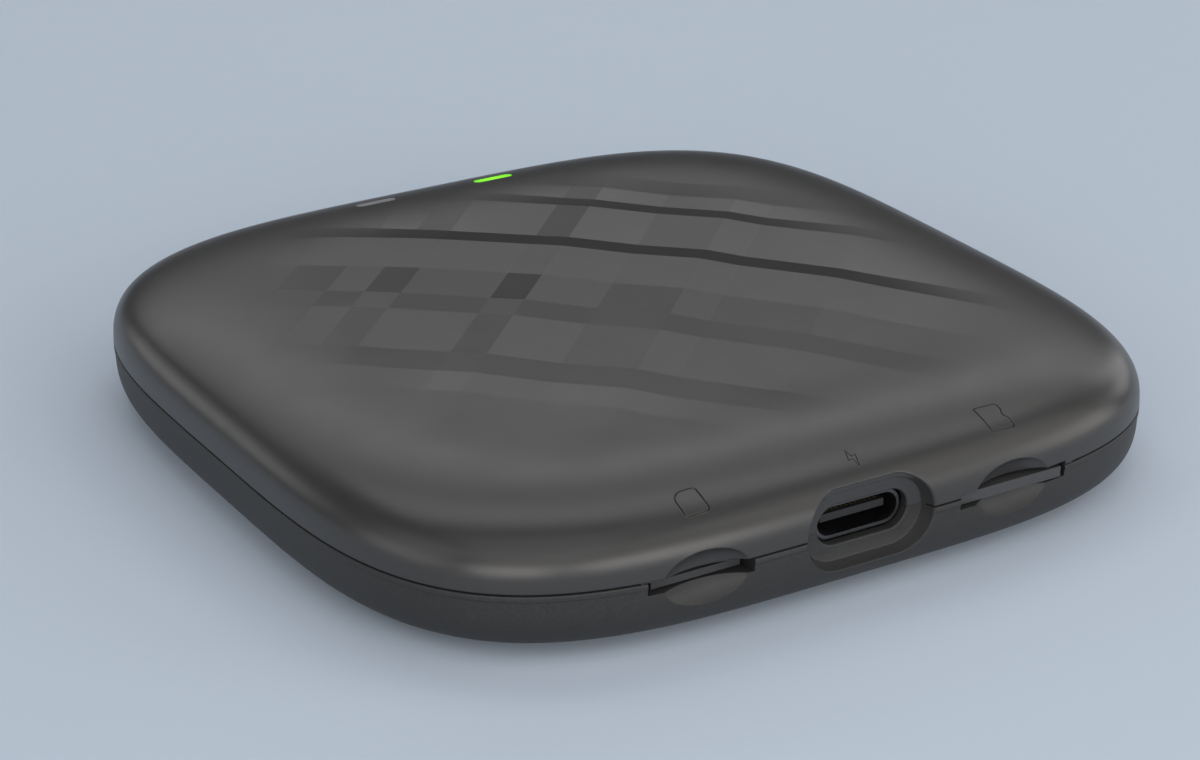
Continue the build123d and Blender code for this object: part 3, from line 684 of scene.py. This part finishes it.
def fold_lid(obj):
    """Cuts the lid's outside along the ribbons' edges, then folds it."""
    bm = bmesh.new()
    bm.from_mesh(obj.data)

    def top_faces():
        found = []
        for f in bm.faces:
            c = f.calc_center_median() / MM
            if f.normal.z > 0.6 and c.z > TOP_Z - 1.0 and level(c.x, c.y) < FADE_TO + 2:
                found.append(f)
        return found

    def slice_faces(faces, point, normal):
        geom = set(faces)
        for f in faces:
            geom.update(f.edges)
            geom.update(f.verts)
        bmesh.ops.bisect_plane(bm, geom=list(geom), dist=1e-7, plane_co=point, plane_no=normal)

    def at(u, v):
        return Vector(((u - v) / R2 * MM, (u + v) / R2 * MM, 0.0))

    for v in ROWS:
        slice_faces(top_faces(), at(0, v), (at(0, v + 1) - at(0, v)).normalized())
    spans = list(zip(ROWS, ROWS[1:]))
    for high, low in spans:
        strip = []
        for f in top_faces():
            c = f.calc_center_median() / MM
            if low < (c.y - c.x) / R2 < high:
                strip.append(f)
        for offset in COLUMNS:
            p = at(wave(high) + offset, high)
            q = at(wave(low) + offset, low)
            run = (q - p).normalized()
            strip = [f for f in strip if f.is_valid]
            known = set(bm.faces)
            slice_faces(strip, p, Vector((-run.y, run.x, 0.0)))
            strip += [f for f in bm.faces if f not in known]

    # each facet stores its painted shade, which the lid's material turns into darker or lighter colour
    tone_and_painted_shade = bm.faces.layers.float.new("facet")
    weight = bm.verts.layers.float.new("fold_fade")
    top = top_faces()
    for f in top:
        c = f.calc_center_median() / MM
        place = cell(c.x, c.y)
        if place:
            f[tone_and_painted_shade] = facet_painted_shade(*place)
    edges = set(e for f in top for e in f.edges)
    for e in edges:
        if len(e.link_faces) == 2:
            a, b = (cell(*(f.calc_center_median() / MM).xy) for f in e.link_faces)
            if a != b:
                e.smooth = False
    folds = []
    for vert in set(vert for f in top for vert in f.verts):
        x, y = vert.co.x / MM, vert.co.y / MM
        vert[weight] = fade(x, y)
        folds.append((vert, relief(x, y)))
    peak = max(h for vert, h in folds if vert[weight] > 0.3)
    for vert, h in folds:
        vert.co.z += (h - peak) * vert[weight] * MM
    bm.to_mesh(obj.data)
    bm.free()


finish_mesh(lid, "lid_skin")
fold_lid(lid)
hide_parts("top_shell")
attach(lid, "case")
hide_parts("bottom_shell")
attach(tray, "case")


# ---------------------------------------------------------------- materials
LID_COLOUR = (0.030, 0.0295, 0.0295)
LID_ROUGH = 0.32
TRAY_COLOUR = (0.022, 0.0218, 0.0218)
MOULDED_EDGE = 0.13  # radius that the case's small edges seem to have, in millimetres


def tinted(colour, factor):
    return tuple(c * factor for c in colour)


def material(name):
    m = bpy.data.materials.new(name)
    m.use_nodes = True
    nodes = m.node_tree.nodes
    shader = nodes["Principled BSDF"]
    return m, nodes, m.node_tree.links, shader


def noise(nodes, links, scale, detail=2.0, rough=0.5):
    """Noise in object space; scale is in cells per millimetre."""
    coords = nodes.new("ShaderNodeTexCoord")
    tex = nodes.new("ShaderNodeTexNoise")
    tex.inputs["Scale"].default_value = scale / MM
    tex.inputs["Detail"].default_value = detail
    tex.inputs["Roughness"].default_value = rough
    links.new(coords.outputs["Object"], tex.inputs["Vector"])
    return tex.outputs["Fac"]


def remap(nodes, links, value, lo, hi, out_lo, out_hi):
    node = nodes.new("ShaderNodeMapRange")
    node.inputs["From Min"].default_value = lo
    node.inputs["From Max"].default_value = hi
    node.inputs["To Min"].default_value = out_lo
    node.inputs["To Max"].default_value = out_hi
    links.new(value, node.inputs["Value"])
    return node.outputs["Result"]


def shade(nodes, links, value, dark, light):
    """Colour between two colours by a 0 to 1 value."""
    ramp_node = nodes.new("ShaderNodeValToRGB")
    ramp_node.color_ramp.elements[0].color = (*dark, 1)
    ramp_node.color_ramp.elements[1].color = (*light, 1)
    links.new(value, ramp_node.inputs["Fac"])
    return ramp_node.outputs["Color"]


def bump(nodes, links, height, depth, shader, distance, edge=0.0):
    """Relief from a height, on top of edges rounded by a radius in millimetres."""
    node = nodes.new("ShaderNodeBump")
    if edge:
        bevel = nodes.new("ShaderNodeBevel")
        bevel.samples = 5
        bevel.inputs["Radius"].default_value = edge * MM
        links.new(bevel.outputs["Normal"], node.inputs["Normal"])
    node.inputs["Strength"].default_value = depth
    node.inputs["Distance"].default_value = distance * MM
    links.new(height, node.inputs["Height"])
    links.new(node.outputs["Normal"], shader.inputs["Normal"])


def surface(name, colour, rough, grain=4.0, vary=0.12, metal=0.0, depth=0.25, coat=0.0):
    """Moulded, pressed or printed surface with grain in its colour, gloss and relief."""
    m, nodes, links, shader = material(name)
    fine = noise(nodes, links, grain, 3.0)
    position = remap(nodes, links, fine, 0.3, 0.7, 0, 1)
    tone_and_painted_shade = shade(nodes, links, position, tinted(colour, 1 - vary), tinted(colour, 1 + vary))
    links.new(tone_and_painted_shade, shader.inputs["Base Color"])
    wide = noise(nodes, links, grain * 0.15, 2.0)
    gloss = remap(nodes, links, wide, 0.3, 0.7, rough - 0.06, rough + 0.06)
    links.new(gloss, shader.inputs["Roughness"])
    shader.inputs["Metallic"].default_value = metal
    if coat:
        shader.inputs["Coat Weight"].default_value = coat
        shader.inputs["Coat Roughness"].default_value = 0.15
    bump(nodes, links, fine, depth, shader, 0.01)
    return m


def lid_material():
    """Satin moulded plastic, with painted shade and highlight on the folded ribbons: each facet's colour
    is made darker or lighter as its tilt would catch the light.
    """
    m, nodes, links, shader = material("lid_satin_plastic")
    facet = nodes.new("ShaderNodeAttribute")
    facet.attribute_name = "facet"
    share = nodes.new("ShaderNodeAttribute")
    share.attribute_name = "fold_fade"
    tone_and_painted_shade = nodes.new("ShaderNodeMath")
    tone_and_painted_shade.operation = "MULTIPLY"
    links.new(facet.outputs["Fac"], tone_and_painted_shade.inputs[0])
    links.new(share.outputs["Fac"], tone_and_painted_shade.inputs[1])
    grain = noise(nodes, links, 9.0, 3.0)
    speck = remap(nodes, links, grain, 0.3, 0.7, -0.05, 0.05)
    total = nodes.new("ShaderNodeMath")
    total.operation = "ADD"
    links.new(tone_and_painted_shade.outputs["Value"], total.inputs[0])
    links.new(speck, total.inputs[1])
    # colour: random grain specks plus the facets' painted shade and highlight
    position = remap(nodes, links, total.outputs["Value"], -0.7, 0.7, 0.0, 1.0)
    colour = shade(nodes, links, position, tinted(LID_COLOUR, 0.3), tinted(LID_COLOUR, 1.7))
    links.new(colour, shader.inputs["Base Color"])
    wide = noise(nodes, links, 0.25, 2.0)
    rough = remap(nodes, links, wide, 0.3, 0.7, LID_ROUGH - 0.015, LID_ROUGH + 0.015)
    gloss = remap(nodes, links, tone_and_painted_shade.outputs["Value"], -0.5, 0.2, LID_ROUGH * 0.2, -LID_ROUGH * 0.08)
    both = nodes.new("ShaderNodeMath")
    both.operation = "ADD"
    links.new(rough, both.inputs[0])
    links.new(gloss, both.inputs[1])
    links.new(both.outputs["Value"], shader.inputs["Roughness"])
    # the same painted shade also scales the specular level: a painted sheen on the facets that face the
    # light
    sheen = remap(nodes, links, tone_and_painted_shade.outputs["Value"], -0.72, 0.48, 0.12, 0.75)
    links.new(sheen, shader.inputs["Specular IOR Level"])
    bump(nodes, links, noise(nodes, links, 14.0, 2.0), 0.2, shader, 0.003, edge=MOULDED_EDGE)
    return m


def tray_material():
    """Spark-eroded texture of the tray: fine matt grain."""
    m, nodes, links, shader = material("tray_textured_plastic")
    fine = noise(nodes, links, 5.5, 4.0, 0.6)
    position = remap(nodes, links, fine, 0.3, 0.7, 0, 1)
    colour = shade(nodes, links, position, tinted(TRAY_COLOUR, 0.72), tinted(TRAY_COLOUR, 1.3))
    links.new(colour, shader.inputs["Base Color"])
    links.new(remap(nodes, links, fine, 0.3, 0.7, 0.44, 0.58), shader.inputs["Roughness"])
    shader.inputs["Specular IOR Level"].default_value = 0.4
    bump(nodes, links, fine, 0.55, shader, 0.03, edge=MOULDED_EDGE)
    return m


def green_light():
    """Clear bar glowing green from the light under it, brighter in its middle."""
    m, nodes, links, shader = material("light_bar_green")
    lo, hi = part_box("light_bar_right")
    centre = (lo + hi) / 2
    coords = nodes.new("ShaderNodeTexCoord")
    shift = nodes.new("ShaderNodeVectorMath")
    shift.operation = "DISTANCE"
    shift.inputs[1].default_value = (centre.x, centre.y, hi.z)
    links.new(coords.outputs["Object"], shift.inputs[0])
    near = remap(nodes, links, shift.outputs["Value"], 0.0, 0.0026, 1.0, 0.0)
    colour = shade(nodes, links, near, (0.13, 0.75, 0.002), (0.30, 0.95, 0.02))
    links.new(colour, shader.inputs["Base Color"])
    links.new(colour, shader.inputs["Emission Color"])
    shader.inputs["Emission Strength"].default_value = 0.55
    shader.inputs["Roughness"].default_value = 0.3
    return m


FINISHES = {
    "silicone_rubber": surface("silicone_rubber", (0.02, 0.02, 0.021), 0.7, 6.0, 0.2, depth=0.4),
    "steel": surface("nickel_steel", (0.30, 0.30, 0.31), 0.34, 3.0, 0.1, metal=1.0, depth=0.15),
    "light_bar_unlit": surface("light_bar_grey", (0.24, 0.245, 0.26), 0.3, 5.0, 0.06, depth=0.1),
    "light_bar_lit": green_light(),
    "dark_nickel": surface("dark_nickel", (0.11, 0.11, 0.113), 0.4, 3.0, 0.12, metal=1.0, depth=0.15),
    "black_plastic": surface("black_nylon", (0.012, 0.012, 0.013), 0.55, 5.0, 0.25),
    "led_package": surface("led_package", (0.75, 0.74, 0.68), 0.5, 6.0, 0.08),
    "circuit_board": surface("board_solder_mask", (0.011, 0.014, 0.013), 0.35, 1.2, 0.25, coat=0.4),
    "gold_plate": surface("gold_plate", (0.5, 0.36, 0.15), 0.35, 8.0, 0.1, metal=1.0, depth=0.1),
    "white_plastic": surface("white_nylon", (0.72, 0.72, 0.69), 0.5, 5.0, 0.06),
    "spring_steel": surface("spring_steel", (0.45, 0.45, 0.47), 0.28, 8.0, 0.1, metal=1.0, depth=0.1),
    "card_plastic": surface("sim_plastic", (0.024, 0.024, 0.025), 0.55, 6.0, 0.15),
    "dark_card_plastic": surface("memory_card_plastic", (0.042, 0.042, 0.045), 0.5, 6.0, 0.2, depth=0.35),
    "chip_resin": surface("chip_resin", (0.02, 0.02, 0.022), 0.6, 7.0, 0.2, depth=0.4),
    "tinned_steel": surface("tinned_steel", (0.62, 0.62, 0.61), 0.32, 1.5, 0.08, metal=1.0),
    "thermal_silicone": surface("thermal_silicone", (0.22, 0.3, 0.42), 0.75, 3.0, 0.12, depth=0.4),
    "aluminium": surface("brushed_aluminium", (0.7, 0.71, 0.72), 0.35, 2.5, 0.06, metal=1.0),
    "antenna_laminate": surface("antenna_laminate", (0.03, 0.03, 0.035), 0.5, 2.0, 0.2),
    "cable_jacket": surface("cable_jacket", (0.025, 0.025, 0.028), 0.45, 6.0, 0.15),
    "ceramic": surface("ceramic", (0.42, 0.34, 0.25), 0.45, 6.0, 0.15),
    "ferrite": surface("ferrite", (0.08, 0.08, 0.084), 0.65, 6.0, 0.2, depth=0.4),
}
for entry in frame["record"]["subparts"]:
    node = frame["nodes"][entry["node"]]
    finish = FINISHES.get(entry["material_slot"])
    if finish:
        node.data.materials.clear()
        node.data.materials.append(finish)
for obj, finish in ((lid, lid_material()), (tray, tray_material())):
    obj.data.materials.clear()
    obj.data.materials.append(finish)


def live_spring(node):
    """Coil copied from the spring's CAD node into an object of its own, which takes the node's place."""
    coil = bpy.data.objects.new(node + "_coil", frame["nodes"][node].data.copy())
    bpy.context.scene.collection.objects.link(coil)
    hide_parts(node)
    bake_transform(coil)


live_spring("sim_spring")
live_spring("tf_spring")


# ---------------------------------------------------------------- camera, floor, light
CAMERA_LENS = 91.36
CAMERA_TARGET = (-1.161, 0.705, 4.321)
CAMERA_AZIMUTH = -31.251
CAMERA_ELEVATION = 23.948
CAMERA_DISTANCE = 292.18
FLOOR_HALF = 3000
LIGHT_DISTANCE = 1.1
LIGHT_TARGET = (0, 0, 0.005)


def aim(obj, target):
    """Turns a camera or light to face a point."""
    obj.rotation_mode = "QUATERNION"
    obj.rotation_quaternion = (Vector(target) - obj.location).to_track_quat("-Z", "Y")


def direction(azimuth, elevation):
    """Unit vector from the object. Azimuth 0 is in front, and turns towards the right."""
    a, e = math.radians(azimuth), math.radians(elevation)
    return Vector((math.sin(a) * math.cos(e), -math.cos(a) * math.cos(e), math.sin(e)))


camera_data = bpy.data.cameras.new("camera")
camera_data.sensor_width = 36
camera_data.lens = CAMERA_LENS
camera = bpy.data.objects.new("camera", camera_data)
bpy.context.scene.collection.objects.link(camera)
target = Vector(CAMERA_TARGET) * MM
camera.location = target + direction(CAMERA_AZIMUTH, CAMERA_ELEVATION) * CAMERA_DISTANCE * MM
aim(camera, target)
bpy.context.scene.camera = camera
bpy.context.scene.view_settings.view_transform = "Standard"


def floor_material():
    m, nodes, links, shader = material("pale_floor")
    wide = noise(nodes, links, 0.004, 1.0)
    position = remap(nodes, links, wide, 0.3, 0.7, 0, 1)
    colour = shade(nodes, links, position, (0.485, 0.565, 0.67), (0.505, 0.585, 0.69))
    links.new(colour, shader.inputs["Base Color"])
    shader.inputs["Roughness"].default_value = 0.9
    return m


sides = ((-1, -1), (1, -1), (1, 1), (-1, 1))
floor = new_object("floor", [(x * FLOOR_HALF, y * FLOOR_HALF, 0) for x, y in sides], [(0, 1, 2, 3)])
floor.data.materials.append(floor_material())


def softbox(name, azimuth, elevation, width, height, power, colour):
    """Area light aimed at the object."""
    data = bpy.data.lights.new(name, "AREA")
    data.shape = "RECTANGLE"
    data.size = width
    data.size_y = height
    data.energy = power
    data.color = colour
    obj = bpy.data.objects.new(name, data)
    bpy.context.scene.collection.objects.link(obj)
    obj.location = direction(azimuth, elevation) * LIGHT_DISTANCE
    aim(obj, LIGHT_TARGET)


WHITE = (1.0, 1.0, 1.0)
WARM = (1.0, 0.975, 0.95)
# azimuth, elevation, width, height, power, colour
SOFTBOXES = (
    (150, 26, 1.7, 0.16, 0.5, WHITE),
    (150, 33, 1.7, 0.16, 1.75, WHITE),
    (150, 60, 1.2, 0.40, 2.5, WHITE),
    (-150, 14, 0.5, 0.30, 0.7, WHITE),
    (-95, 14, 0.8, 0.45, 1.8, WHITE),
    (-95, 40, 0.7, 0.60, 1.2, WHITE),
    (105, 14, 0.5, 0.30, 0.9, WHITE),
    (60, 14, 0.7, 0.45, 2.5, WARM),
    (60, 40, 0.7, 0.60, 1.4, WARM),
    (-40, 14, 0.8, 0.45, 4.4, WARM),
    (-35, 42, 0.8, 0.65, 1.8, WARM),
    (10, 14, 0.8, 0.45, 4.6, WARM),
    (15, 42, 0.8, 0.65, 1.3, WARM),
    (-30, 75, 0.9, 0.70, 1.7, WHITE),
)
for i, row in enumerate(SOFTBOXES):
    softbox(f"softbox_{i}", *row)

world = bpy.data.worlds.new("studio")
world.use_nodes = True
background = world.node_tree.nodes["Background"]
background.inputs["Color"].default_value = (0.75, 0.8, 0.88, 1)
background.inputs["Strength"].default_value = 0.02
bpy.context.scene.world = world
